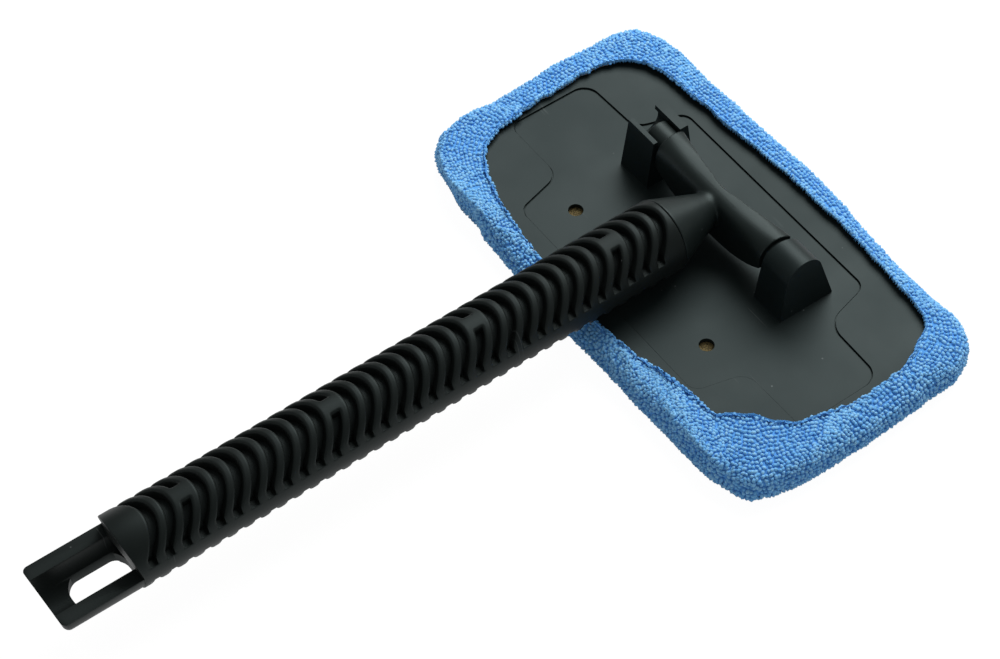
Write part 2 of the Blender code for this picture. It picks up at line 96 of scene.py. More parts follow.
# Yoke and handle, as distances from the hinge's axis
BAR_RADIUS = 9.3 * MM
BAR_HALF_LENGTH = 36.2 * MM
NECK_END = 33.4 * MM
NECK_RADIUS = 16.5 * MM
GRIP_START = 33.7 * MM
GRIP_END = 304.2 * MM
GRIP_RADIUS = 17.0 * MM
SLOT_COUNT = 33
SLOT_FIRST = 38.7 * MM
SLOT_PITCH = 7.884 * MM
SLOT_HALF_WIDTH = 2.2 * MM
SLOT_DEPTH = 4.5 * MM
SLOT_SHOULDER = 1.5 * MM
SHOULDER_DROP = 0.3
SLOT_ARC = 18.4 * MM
SLOT_END_ANGLE = 13.0
BRIDGE_HALF_ANGLE = 10.0
TAIL_END = 341.2 * MM
TAIL_RADIUS = 16.4 * MM
GUTTER_HALF_WIDTH = 9.9 * MM
GUTTER_DEPTH = 13.2 * MM
TAIL_LIP = 0.6 * MM
END_RAKE = 0.2
POCKET_START = 298.6 * MM
HANG_SLOT_START = 302.0 * MM
HANG_SLOT_END = 329.0 * MM
HANG_SLOT_HALF_WIDTH = 7.5 * MM
HANG_SLOT_CORNER = 6.0 * MM
CORE_RADIUS = 9.3 * MM
CORE_END = 294.2 * MM

# Cloth tucked under at one corner: how far, at which point round the rim and over how many
TUCK_DEPTH = 5.8 * MM
TUCK_PLACE = 175
TUCK_SPREAD = 9.0

# Pile; the lip's row is a point of the section in cover_surface
ROW_PITCH = 2.12 * MM
LOOP_PITCH = 2.0 * MM
PILE_DEPTH = 1.6 * MM
HEM_PILE_DEPTH = 1.3 * MM
PRESSED_PILE_DEPTH = 0.4 * MM
LIP_ROW = 45
SECTION_PARTS = 5
END_PILE_START = 95.0 * MM

rng = np.random.default_rng(7)


# Modelling helpers


def deselect():
    bpy.ops.object.select_all(action="DESELECT")


def take(piece):
    """Makes a piece the only selected and the active one."""
    deselect()
    piece.hide_set(False)
    piece.select_set(True)
    bpy.context.view_layer.objects.active = piece


def edit(piece, *steps):
    """Runs edit-mode steps on a whole piece."""
    take(piece)
    bpy.ops.object.mode_set(mode="EDIT")
    bpy.ops.mesh.select_all(action="SELECT")
    for step in steps:
        step()
    bpy.ops.object.mode_set(mode="OBJECT")


def face_outwards():
    bpy.ops.mesh.select_all(action="SELECT")
    bpy.ops.mesh.normals_make_consistent(inside=False)


def arc(centre, radius, start, end, steps):
    """Points on an arc in a plane, angles in degrees."""
    angles = np.radians(np.linspace(start, end, steps + 1))
    return [(centre[0] + radius * math.cos(a), centre[1] + radius * math.sin(a)) for a in angles]


def rounded_outline(corners, steps):
    """An outline from (x, y, radius) corners, each rounded by a tangent arc, inner corners too."""
    points = []
    for k, (x, y, radius) in enumerate(corners):
        here = Vector((x, y))
        back = (Vector(corners[k - 1][:2]) - here).normalized()
        ahead = (Vector(corners[(k + 1) % len(corners)][:2]) - here).normalized()
        half = back.angle(ahead) / 2.0
        reach = radius / math.tan(half)
        centre = here + (back + ahead).normalized() * (radius / math.sin(half))
        start = here + back * reach - centre
        turn = (here + ahead * reach - centre).angle_signed(start)
        for step in range(steps + 1):
            points.append(tuple(centre + Matrix.Rotation(turn * step / steps, 2) @ start))
    return points


def block(name, outline, low, high, axis="Z"):
    """A filled circle whose points are set on an outline, then extruded along an axis."""
    deselect()
    bpy.ops.mesh.primitive_circle_add(vertices=len(outline), radius=1.0, fill_type="NGON")
    piece = bpy.context.object
    piece.name = name
    for vertex, (a, b) in zip(piece.data.vertices, outline):
        vertex.co = {"X": (low, a, b), "Y": (a, low, b), "Z": (a, b, low)}[axis]
    travel = {"X": (high - low, 0, 0), "Y": (0, high - low, 0), "Z": (0, 0, high - low)}[axis]
    edit(
        piece,
        lambda: bpy.ops.mesh.extrude_region_move(TRANSFORM_OT_translate={"value": travel}),
        face_outwards,
    )
    return piece


def skin(name, rings, ring_closes=True, rows_close=False):
    """A grid whose points are set row by row on rings; its seam is merged and its ends are filled."""
    rows = np.asarray(rings, dtype=float)
    if ring_closes:
        rows = np.concatenate([rows, rows[:, :1]], axis=1)
    if rows_close:
        rows = np.concatenate([rows, rows[:1]], axis=0)
    down, across = rows.shape[:2]
    deselect()
    bpy.ops.mesh.primitive_grid_add(x_subdivisions=across - 1, y_subdivisions=down - 1, size=1.0)
    piece = bpy.context.object
    piece.name = name
    piece.data.vertices.foreach_set("co", rows.reshape(-1))
    edit(
        piece,
        lambda: bpy.ops.mesh.remove_doubles(threshold=1e-6),
        lambda: bpy.ops.mesh.select_all(action="DESELECT"),
        lambda: bpy.ops.mesh.select_non_manifold(),
        lambda: bpy.ops.mesh.fill_holes(sides=0),
        face_outwards,
    )
    return piece


def cylinder(name, radius, start, end, centre=(0.0, 0.0), axis="X", sides=64):
    turns = [2 * math.pi * k / sides for k in range(sides)]
    outline = [(centre[0] + radius * math.cos(a), centre[1] + radius * math.sin(a)) for a in turns]
    return block(name, outline, start, end, axis)


def apply_step(piece, kind, **settings):
    """Adds one modifier and applies it."""
    take(piece)
    step = piece.modifiers.new(kind.lower(), kind)
    for key, value in settings.items():
        setattr(step, key, value)
    bpy.ops.object.modifier_apply(modifier=step.name)


def combine(piece, tool, operation, solver="EXACT"):
    """Joins a tool shape to a piece, or cuts it out, and removes the tool."""
    apply_step(piece, "BOOLEAN", operation=operation, object=tool, solver=solver)
    bpy.data.objects.remove(tool, do_unlink=True)


def soften(piece, width, segments=2, angle=35.0):
    """Rounds a moulding's edges."""
    limit = math.radians(angle)
    apply_step(piece, "BEVEL", width=width, segments=segments, limit_method="ANGLE", angle_limit=limit)


def smooth(piece, angle=38.0):
    take(piece)
    bpy.ops.object.shade_smooth_by_angle(angle=math.radians(angle))


def finish_piece(piece, material, body, slot, *nodes):
    """Gives a piece its material and body, and hides the CAD nodes that it stands for."""
    piece.data.materials.clear()
    piece.data.materials.append(material)
    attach(piece, body)
    if nodes:
        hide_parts(*nodes)
    return piece


def set_on_pivot(piece):
    """Moves a piece that was made about the hinge's axis to its place on the head."""
    take(piece)
    piece.rotation_euler = (HANDLE_DROOP, 0.0, 0.0)
    piece.location = (0.0, PIVOT_Y, PIVOT_Z)
    bpy.ops.object.transform_apply(location=True, rotation=True, scale=True)
    return piece


# Materials


def new_group(name, inputs, outputs):
    """An empty shader group with its sockets and its two end nodes."""
    tree = bpy.data.node_groups.new(name, "ShaderNodeTree")
    for socket, value in inputs:
        made = tree.interface.new_socket(socket, in_out="INPUT", socket_type="NodeSocketFloat")
        made.default_value = value
    for socket in outputs:
        tree.interface.new_socket(socket, in_out="OUTPUT", socket_type="NodeSocketFloat")
    return tree, tree.nodes.new("NodeGroupInput"), tree.nodes.new("NodeGroupOutput")


def add_noise(tree, vector, scale, detail):
    node = tree.nodes.new("ShaderNodeTexNoise")
    node.inputs["Detail"].default_value = detail
    tree.links.new(vector, node.inputs["Vector"])
    if isinstance(scale, (int, float)):
        node.inputs["Scale"].default_value = scale
    else:
        tree.links.new(scale, node.inputs["Scale"])
    return node.outputs["Fac"]


def add_range(tree, value, low, high, to_low=0.0, to_high=1.0):
    node = tree.nodes.new("ShaderNodeMapRange")
    node.inputs["From Min"].default_value = low
    node.inputs["From Max"].default_value = high
    node.inputs["To Min"].default_value = to_low
    node.inputs["To Max"].default_value = to_high
    tree.links.new(value, node.inputs["Value"])
    return node.outputs["Result"]


def add_math(tree, operation, a, b):
    node = tree.nodes.new("ShaderNodeMath")
    node.operation = operation
    for socket, value in zip(node.inputs, (a, b)):
        if isinstance(value, (int, float)):
            socket.default_value = value
        else:
            tree.links.new(value, socket)
    return node.outputs["Value"]


def add_mix(tree, share, first, second):
    """Mixes two colours; each is a plain colour or a socket."""
    node = tree.nodes.new("ShaderNodeMix")
    node.data_type = "RGBA"
    tree.links.new(share, node.inputs["Factor"])
    for socket, value in ((node.inputs[6], first), (node.inputs[7], second)):
        if isinstance(value, tuple):
            socket.default_value = (*value, 1.0)
        else:
            tree.links.new(value, socket)
    return node.outputs[2]


def add_coordinates(tree, scale=(1.0, 1.0, 1.0), turn=0.0):
    place = tree.nodes.new("ShaderNodeTexCoord")
    mapping = tree.nodes.new("ShaderNodeMapping")
    mapping.inputs["Scale"].default_value = scale
    mapping.inputs["Rotation"].default_value = (0.0, 0.0, turn)
    tree.links.new(place.outputs["Object"], mapping.inputs["Vector"])
    return mapping.outputs["Vector"]


def add_bump(material, height, strength, distance):
    tree = material.node_tree
    bump = tree.nodes.new("ShaderNodeBump")
    bump.inputs["Strength"].default_value = strength
    bump.inputs["Distance"].default_value = distance
    tree.links.new(height, bump.inputs["Height"])
    tree.links.new(bump.outputs["Normal"], shader_of(material).inputs["Normal"])


def add_attribute(tree, name):
    node = tree.nodes.new("ShaderNodeAttribute")
    node.attribute_name = name
    return node.outputs["Fac"]


def shader_of(material):
    return material.node_tree.nodes["Principled BSDF"]


def new_material(name, roughness):
    material = bpy.data.materials.new(name)
    material.use_nodes = True
    shader_of(material).inputs["Roughness"].default_value = roughness
    return material


def moulded_grain_group():
    """The fine spark-eroded grain of a mould, its cloudy gloss, hairline scratches and dust."""
    tree, start, end = new_group(
        "moulded_grain",
        (("Grain Scale", 2600.0), ("Cloud Scale", 28.0)),
        ("Height", "Cloud", "Scratch", "Dust"),
    )
    plain = add_coordinates(tree)
    tree.links.new(add_noise(tree, plain, start.outputs["Grain Scale"], 2.0), end.inputs["Height"])
    cloud = add_noise(tree, plain, start.outputs["Cloud Scale"], 4.0)
    tree.links.new(add_range(tree, cloud, 0.35, 0.65), end.inputs["Cloud"])
    hair = add_noise(tree, add_coordinates(tree, (30.0, 900.0, 30.0), 0.9), 1.0, 0.0)
    patch = add_noise(tree, add_coordinates(tree, (1.0, 1.0, 1.0), 0.3), 40.0, 1.0)
    lines = add_range(tree, hair, 0.76, 0.79)
    places = add_range(tree, patch, 0.62, 0.7)
    tree.links.new(add_math(tree, "MULTIPLY", lines, places), end.inputs["Scratch"])
    speck = tree.nodes.new("ShaderNodeTexVoronoi")
    speck.inputs["Scale"].default_value = 160.0
    tree.links.new(plain, speck.inputs["Vector"])
    dots = add_range(tree, speck.outputs["Distance"], 0.075, 0.04)
    few = add_range(tree, add_noise(tree, plain, 60.0, 0.0), 0.66, 0.72)
    tree.links.new(add_math(tree, "MULTIPLY", dots, few), end.inputs["Dust"])
    return tree


def yarn_group():
    """The fine fibres of a yarn and the slow change of its dye."""
    tree, start, end = new_group("yarn", (("Fibre Scale", 3200.0), ("Dye Scale", 45.0)), ("Fibres", "Dye"))
    plain = add_coordinates(tree)
    tree.links.new(add_noise(tree, plain, start.outputs["Fibre Scale"], 2.0), end.inputs["Fibres"])
    dye = add_noise(tree, plain, start.outputs["Dye Scale"], 3.0)
    tree.links.new(add_range(tree, dye, 0.3, 0.7), end.inputs["Dye"])
    return tree


def place_group(material, group, **values):
    node = material.node_tree.nodes.new("ShaderNodeGroup")
    node.node_tree = group
    for key, value in values.items():
        node.inputs[key.replace("_", " ").title()].default_value = value
    return node


def moulded_plastic(name, group, colour, lifted, rough_low, rough_high, bump, gloss):
    """A dark satin plastic with grain, clouded gloss, faint scratches and dust."""
    material = new_material(name, rough_low)
    shader_of(material).inputs["Specular IOR Level"].default_value = gloss
    shader_of(material).inputs["Specular Tint"].default_value = (0.8, 1.0, 0.99, 1.0)
    tree = material.node_tree
    grain = place_group(material, group)
    worn = add_math(tree, "MULTIPLY", grain.outputs["Scratch"], 0.3)
    marked = add_mix(tree, worn, add_mix(tree, grain.outputs["Cloud"], colour, lifted), (0.09, 0.1, 0.1))
    specks = add_math(tree, "MULTIPLY", grain.outputs["Dust"], 0.5)
    dusty = add_mix(tree, specks, marked, (0.2, 0.22, 0.22))
    tree.links.new(dusty, shader_of(material).inputs["Base Color"])
    rough = add_range(tree, grain.outputs["Cloud"], 0.0, 1.0, rough_low, rough_high)
    tree.links.new(rough, shader_of(material).inputs["Roughness"])
    add_bump(material, grain.outputs["Height"], bump, 0.05 * MM)
    return material


def pile_material(group):
    """Blue looped yarn: darker towards the loops' roots as painted shade between them, brighter at their tips
    as painted highlight, slightly uneven.
    """
    material = new_material("microfibre_loops", 0.85)
    shader = shader_of(material)
    shader.inputs["Sheen Weight"].default_value = 0.25
    shader.inputs["Sheen Roughness"].default_value = 0.4
    shader.inputs["Sheen Tint"].default_value = (0.6, 0.8, 1.0, 1.0)
    tree = material.node_tree
    yarn = place_group(material, group)
    rise = add_range(tree, add_attribute(tree, "rise"), 0.1, 0.9)
    # Painted shade at the loops' roots, rising to a painted highlight at their tips.
    root_shade_tip_highlight = add_mix(tree, rise, (0.035, 0.22, 0.6), (0.19, 0.54, 0.94))
    # Some loops, chosen at random, get paler tips: partly the yarn's uneven tone, partly painted highlight.
    pale = add_range(tree, add_attribute(tree, "shade"), 0.1, 1.0, 0.0, 0.8)
    varied_tone_and_tip_highlight = add_mix(tree, add_math(tree, "MULTIPLY", pale, rise), root_shade_tip_highlight, (0.36, 0.7, 0.96))
    dye = add_math(tree, "MULTIPLY", yarn.outputs["Dye"], 0.3)
    tree.links.new(add_mix(tree, dye, varied_tone_and_tip_highlight, (0.09, 0.36, 0.78)), shader.inputs["Base Color"])
    add_bump(material, yarn.outputs["Fibres"], 0.5, 0.15 * MM)
    return material


def textile(name, group, roughness, fibre_scale, colours, bump, depth, shaded=False):
    """Cloth, thread or elastic between two colours, by its dye or by its stitches' own shade."""
    material = new_material(name, roughness)
    tree = material.node_tree
    yarn = place_group(material, group, fibre_scale=fibre_scale)
    share = add_range(tree, add_attribute(tree, "shade"), 0.3, 0.9) if shaded else yarn.outputs["Dye"]
    tree.links.new(add_mix(tree, share, *colours), shader_of(material).inputs["Base Color"])
    add_bump(material, yarn.outputs["Fibres"], bump, depth)
    return material


def sponge_material():
    """Olive tan open-cell foam, darker in its cells' hollows as painted shade."""
    material = new_material("sponge", 0.95)
    tree = material.node_tree
    plain = add_coordinates(tree)
    cells = tree.nodes.new("ShaderNodeTexVoronoi")
    cells.inputs["Scale"].default_value = 1300.0
    tree.links.new(plain, cells.inputs["Vector"])
    depth = add_range(tree, cells.outputs["Distance"], 0.1, 0.6)
    # The cells' hollows are coloured darker as painted shade; the same value dents them through the bump.
    colour = add_mix(tree, depth, (0.04, 0.03, 0.01), (0.16, 0.12, 0.045))
    tree.links.new(colour, shader_of(material).inputs["Base Color"])
    add_bump(material, depth, 0.9, 0.4 * MM)
    return material


# Head plate with its brackets


def cover_ring(inset, tucked_corner):
    """The cover's rim moved inwards, rounder at the corner where the cloth is tucked under."""
    x = COVER_HALF_LENGTH - inset
    y = COVER_HALF_WIDTH - inset
    radius = COVER_CORNER - inset
    return rounded_outline([(x, y, radius), (-x, y, radius), (-x, -y, tucked_corner), (x, -y, radius)], 24)


def recess_outline(inset=0.0):
    """A cross: a wide block with a shorter tongue at each end, all corners round."""
    corners = [
        (62.4, -49.8, 6.0),
        (68.3, -25.6, 8.5),
        (103.2, -25.0, 5.0),
        (102.8, 18.6, 8.0),
        (68.3, 19.7, 11.0),
        (62.0, 45.1, 6.0),
        (-62.0, 45.1, 6.0),
        (-69.0, 21.4, 8.5),
        (-103.2, 20.0, 8.0),
        (-103.2, -24.3, 5.0),
        (-67.0, -24.3, 8.5),
        (-60.4, -49.8, 6.0),
    ]
    inwards = [(x - math.copysign(inset, x), y - math.copysign(inset, y), radius) for x, y, radius in corners]
    return rounded_outline([(x * MM, y * MM, radius * MM) for x, y, radius in inwards], 10)


def bracket_base(far_reach):
    """A bracket's foot, below the plate's top face."""
    low = PLATE_TOP - 1.5 * MM
    near = PIVOT_Y - BRACKET_NEAR_BASE
    far = PIVOT_Y + far_reach
    return [(near, low), (far, low), (far, PLATE_TOP)], (near, PLATE_TOP)


def tangent_angle(base):
    """Where the line from a bracket's foot touches its round top, in degrees above level."""
    drop = PIVOT_Z - PLATE_TOP
    return math.degrees(math.acos(SOCKET_ARCH / math.hypot(base, drop)) - math.atan2(drop, base))


def socket_outline():
    """The closed bracket from the end: sloping sides under a round top."""
    start, end = bracket_base(BRACKET_FAR_BASE)
    far, near = tangent_angle(BRACKET_FAR_BASE), tangent_angle(BRACKET_NEAR_BASE)
    return start + arc((PIVOT_Y, PIVOT_Z), SOCKET_ARCH, far, 180 - near, 32) + [end]


def clip_outline():
    """The open bracket from the end: a bore that is open above, between two ears."""
    start, end = bracket_base(CLIP_FAR_BASE)
    top = PIVOT_Z + 7.7 * MM
    hook = BORE_RADIUS - 2.1 * MM
    lift = math.sqrt(BORE_RADIUS**2 - hook**2)
    mouth = math.degrees(math.atan2(lift, hook))
    far_ear = [(PIVOT_Y + 9.6 * MM, top), (PIVOT_Y + hook, top)]
    bore = arc((PIVOT_Y, PIVOT_Z), BORE_RADIUS, mouth, -180, 32)
    near_ear = [(PIVOT_Y - BORE_RADIUS, top), (PIVOT_Y - 9.6 * MM, top)]
    return start + far_ear + bore + near_ear + [end]


def lean_ends(piece, side, draft, turn=0.0):
    """Leans a bracket's outer end out towards the plate and turns its inner face in plan."""
    heights = [vertex.co.z for vertex in piece.data.vertices]
    top, base = max(heights), min(heights)
    middle = sum(vertex.co.x for vertex in piece.data.vertices) / len(heights)
    for vertex in piece.data.vertices:
        if side * (vertex.co.x - middle) > 0:
            vertex.co.x += side * draft * (top - vertex.co.z) / (top - base)
        else:
            vertex.co.x += turn * (vertex.co.y - PIVOT_Y + side * BAR_RADIUS / 2)


def make_plate(material):
    """The moulded plate: stepped cross, two holes, a closed socket and an open clip."""
    plate = block("plate_moulding", cover_ring(PLATE_INSET, PLATE_TUCKED_CORNER), PLATE_BOTTOM, PLATE_TOP)
    groove = RECESS_FLOOR - 0.35 * MM
    combine(plate, block("recess", recess_outline(), groove, PLATE_TOP + MM), "DIFFERENCE")
    combine(plate, block("recess_floor", recess_outline(0.4), groove - 0.5 * MM, RECESS_FLOOR), "UNION")
    socket = block("socket", socket_outline(), BRACKET_INNER + SOCKET_SETBACK, BRACKET_OUTER, "X")
    lean_ends(socket, 1, SOCKET_DRAFT, END_TURN)
    combine(plate, socket, "UNION")
    clip = block("clip", clip_outline(), -BRACKET_OUTER - CLIP_SHIFT, -BRACKET_INNER, "X")
    lean_ends(clip, -1, CLIP_DRAFT)
    combine(plate, clip, "UNION")
    bore = cylinder("bore", BORE_RADIUS, BRACKET_INNER - MM, SOCKET_BORE_END, (PIVOT_Y, PIVOT_Z))
    combine(plate, bore, "DIFFERENCE")
    for x in (-HOLE_X, HOLE_X):
        hole = cylinder("hole", HOLE_RADIUS, PLATE_BOTTOM - MM, PLATE_TOP + MM, (x, HOLE_Y), "Z", 40)
        combine(plate, hole, "DIFFERENCE")
    soften(plate, 0.3 * MM)
    smooth(plate)
    apply_step(plate, "WEIGHTED_NORMAL", keep_sharp=True)
    return finish_piece(plate, material, "head", "plate_plastic", "head_plate")


# Yoke


def bar_ring(x):
    """The crossbar's section: a round top, a flat scooped far side and a skirt on the handle's side."""
    share = abs(x) / BAR_HALF_LENGTH
    far = (-0.4 + 6.6 * share**1.7) * MM
    skirt = (14.6 - 9.1 * share**2.7) * MM
    crest = math.degrees(math.acos(far / BAR_RADIUS))
    fullness = 2.0 / (2.0 + 1.3 * (1.0 - share**2))
    top = []
    for a in np.radians(np.linspace(crest, 179.9, 31)):
        power = fullness if a > math.pi / 2 else 1.0
        y = BAR_RADIUS * math.copysign(abs(math.cos(a)) ** power, math.cos(a))
        top.append((y, BAR_RADIUS * math.sin(a) ** power))
    near = [(-BAR_RADIUS, -skirt * k / 12) for k in range(1, 13)]
    low = [(-BAR_RADIUS + (far + BAR_RADIUS) * k / 10, -skirt) for k in range(1, 11)]
    rise = BAR_RADIUS * math.sin(math.radians(crest))
    back = [(far, -skirt + (rise + skirt) * k / 14) for k in range(1, 14)]
    turn = END_TURN * share**4 * (x > 0)
    return [(x + turn * (y + BAR_RADIUS / 2), y, z) for y, z in top + near + low + back]


def neck_ring(distance, half_x, half_z):
    turns = np.linspace(0.0, 2 * math.pi, 96, endpoint=False)
    return [(half_x * math.cos(a), -distance, half_z * math.sin(a)) for a in turns]


def neck_rings():
    """A root in the bar, a cone, and a rounded lip at the grip."""
    lip = 0.6 * MM
    root_wide, root_high = 7.2 * MM, BAR_RADIUS - 1.5 * MM
    rings = []
    for share in np.linspace(0.0, 1.0, 18):
        along = (NECK_END - lip) * share
        beyond = max(0.0, (along - BAR_RADIUS) / (NECK_END - lip - BAR_RADIUS))
        wide = root_wide + (NECK_RADIUS - root_wide) * beyond
        high = root_high + (NECK_RADIUS - root_high) * (0.12 * share + 0.88 * beyond)
        rings.append(neck_ring(along, wide, high))
    for along, out in arc((NECK_END - lip, NECK_RADIUS - lip), lip, 90, 0, 4):
        rings.append(neck_ring(along, out, out))
    return rings


def make_yoke(material):
    """Crossbar, neck, stubs and spigot joined and evened into one moulding."""
    steps = np.linspace(-BAR_HALF_LENGTH, BAR_HALF_LENGTH, 61)
    yoke = skin("yoke_moulding", [bar_ring(x) for x in steps])
    parts = [
        skin("neck", neck_rings()),
        cylinder("spigot", 9.0 * MM, -(NECK_END + 22.0 * MM), -(NECK_END - 2.0 * MM), axis="Y"),
        cylinder("socket_stub", STUB_RADIUS, BAR_HALF_LENGTH - 2.0 * MM, 50.8 * MM),
        cylinder("clip_stub", STUB_RADIUS, -47.0 * MM, -(BAR_HALF_LENGTH - 2.0 * MM)),
    ]
    take(yoke)
    for part in parts:
        part.select_set(True)
    bpy.ops.object.join()
    apply_step(yoke, "REMESH", mode="VOXEL", voxel_size=0.38 * MM, adaptivity=0.0)
    apply_step(yoke, "SMOOTH", factor=0.5, iterations=4)
    root = yoke.vertex_groups.new(name="root")
    near_root = [
        vertex.index
        for vertex in yoke.data.vertices
        if abs(vertex.co.x) < 13.0 * MM and -15.5 * MM < vertex.co.y < -4.0 * MM and vertex.co.z > -13.0 * MM
    ]
    root.add(near_root, 1.0, "REPLACE")
    apply_step(yoke, "SMOOTH", factor=0.5, iterations=55, vertex_group="root")
    yoke.vertex_groups.clear()
    take(yoke)
    bpy.ops.object.shade_smooth()
    set_on_pivot(yoke)
    return finish_piece(yoke, material, "handle", "yoke_plastic", "yoke")


# Grip and gutter tail


def grip_angles():
    """Angles round the grip, close together at the slots' ends and beside the bridges."""
    quarter = [0, 5, 9, 12, 13, 14, 15.2, 16.5, 18, 19.8, 22, 25, 29, 34, 40, 46, 52, 58, 64, 69, 73]
    quarter += [75.5, 77, 78.2, 79.1, 80, 81.5, 84, 87]
    half = quarter + [90.0] + [180.0 - angle for angle in reversed(quarter[1:])]
    return np.array(half + [180.0 + angle for angle in half])


def slot_depths(across, angles, bridged):
    """A slot's depth at a distance across it, for all angles; round shoulders and upright walls."""
    from_web = np.minimum(angles % 180.0, 180.0 - angles % 180.0)
    inside = np.radians(from_web - SLOT_END_ANGLE) * GRIP_RADIUS * 1.5
    if bridged:
        beside = np.radians(np.abs(90.0 - from_web) - BRIDGE_HALF_ANGLE) * GRIP_RADIUS
        inside = np.minimum(inside, beside)
    width = SLOT_HALF_WIDTH + 1.15 * MM - abs(across)
    corner = 1.8 * MM
    rounded = corner - np.hypot(np.maximum(corner - width, 0.0), np.maximum(corner - inside, 0.0))
    edge = np.minimum(np.minimum(width, inside), rounded)
    ramp = np.clip(edge / SLOT_SHOULDER, 0.0, 1.0)
    drop = SHOULDER_DROP * (0.35 + 0.65 * np.clip((from_web - 20.0) / 30.0, 0.0, 1.0))
    return SLOT_DEPTH * np.where(ramp < 1.0, drop * (1.0 - np.sqrt(1.0 - ramp**2)), 1.0)


def grip_row(along, depths, angles, arched=True):
    turns = np.radians(angles)
    side = np.minimum(np.abs(GRIP_RADIUS * np.cos(turns)), 15.1 * MM)
    shift = (SLOT_ARC - np.sqrt(SLOT_ARC**2 - side**2)) * arched
    radius = GRIP_RADIUS - depths
    return np.stack([radius * np.cos(turns), -(along + shift), radius * np.sin(turns)], axis=1)


def grip_rings():
    """Rows along the grip: a rounded start, the slots one after another, and a raked rounded end."""
    angles = grip_angles()
    flat = np.zeros(len(angles))
    edge = 0.5 * MM
    rings = []
    for back, inset in arc((GRIP_START + edge, edge), edge, 180, 270, 3):
        rings.append(grip_row(back, flat + inset, angles, arched=False))
    offsets = (3.34, 3.1, 2.85, 2.6, 2.35, 2.15, 2.0, 1.92, 1.86, 1.82, 0.9)
    across = [-offset * MM for offset in offsets] + [0.0] + [offset * MM for offset in reversed(offsets)]
    for k in range(SLOT_COUNT):
        middle = SLOT_FIRST + SLOT_PITCH * k
        bridged = (SLOT_COUNT - k) % 9 == 3
        for offset in across:
            rings.append(grip_row(middle + offset, slot_depths(offset, angles, bridged), angles))
        if k < SLOT_COUNT - 1:
            rings.append(grip_row(middle + SLOT_PITCH / 2, flat, angles))
    height = np.maximum(GRIP_RADIUS * np.sin(np.radians(angles)), 0.0)
    for along, out in arc((GRIP_END - edge, GRIP_RADIUS - edge), edge, 90, 0, 3):
        ring = grip_row(along, flat + GRIP_RADIUS - out, angles, arched=False)
        ring[:, 1] -= END_RAKE * height
        rings.append(ring)
    return rings


def gutter_arc():
    """The gutter's inner line, deeper than it is wide."""
    stretch = GUTTER_DEPTH / GUTTER_HALF_WIDTH
    return [(x, z * stretch) for x, z in arc((0.0, 0.0), GUTTER_HALF_WIDTH, 360, 180, 36)]


def tail_ring(distance, outer_radius):
    """A gutter section with flat rims level with the grip's axis; its floor is raked."""
    outline = arc((0.0, 0.0), outer_radius, 180, 360, 48) + gutter_arc()
    rake = END_RAKE if distance > GRIP_END else 0.0
    return [(x, -(distance + rake * z), z) for x, z in outline]


def make_handle(material):
    """The ribbed grip and its gutter tail, one hollow moulding with a hanging slot."""
    handle = skin("handle_moulding", grip_rings())
    corner = TAIL_RADIUS - GUTTER_DEPTH - TAIL_LIP
    rings = [tail_ring(GRIP_END - 2.0 * MM, TAIL_RADIUS)]
    for along, out in arc((TAIL_END - corner, TAIL_RADIUS - corner), corner, 90, 0, 12):
        rings.append(tail_ring(along, out))
    tail = skin("tail", rings)
    soften(tail, 0.35 * MM, 2, 60.0)
    combine(handle, tail, "UNION", "MANIFOLD")
    pocket = block("pocket", gutter_arc(), -POCKET_START, -(GRIP_END + MM), "Y")
    combine(handle, pocket, "DIFFERENCE", "MANIFOLD")
    half = HANG_SLOT_HALF_WIDTH
    near = [(half, -HANG_SLOT_START, HANG_SLOT_CORNER), (-half, -HANG_SLOT_START, HANG_SLOT_CORNER)]
    far = [(-half, -HANG_SLOT_END, HANG_SLOT_CORNER), (half, -HANG_SLOT_END, HANG_SLOT_CORNER)]
    slot = block("hang_slot", rounded_outline(near + far, 12), -2 * TAIL_RADIUS, -TAIL_LIP)
    combine(handle, slot, "DIFFERENCE", "MANIFOLD")
    core = cylinder("core", CORE_RADIUS, -CORE_END, -(NECK_END - MM), axis="Y")
    combine(handle, core, "DIFFERENCE", "MANIFOLD")
    smooth(handle, 40.0)
    set_on_pivot(handle)
    return finish_piece(handle, material, "handle", "handle_plastic", "handle")


# Cover: ground cloth, pile, hem and sponge

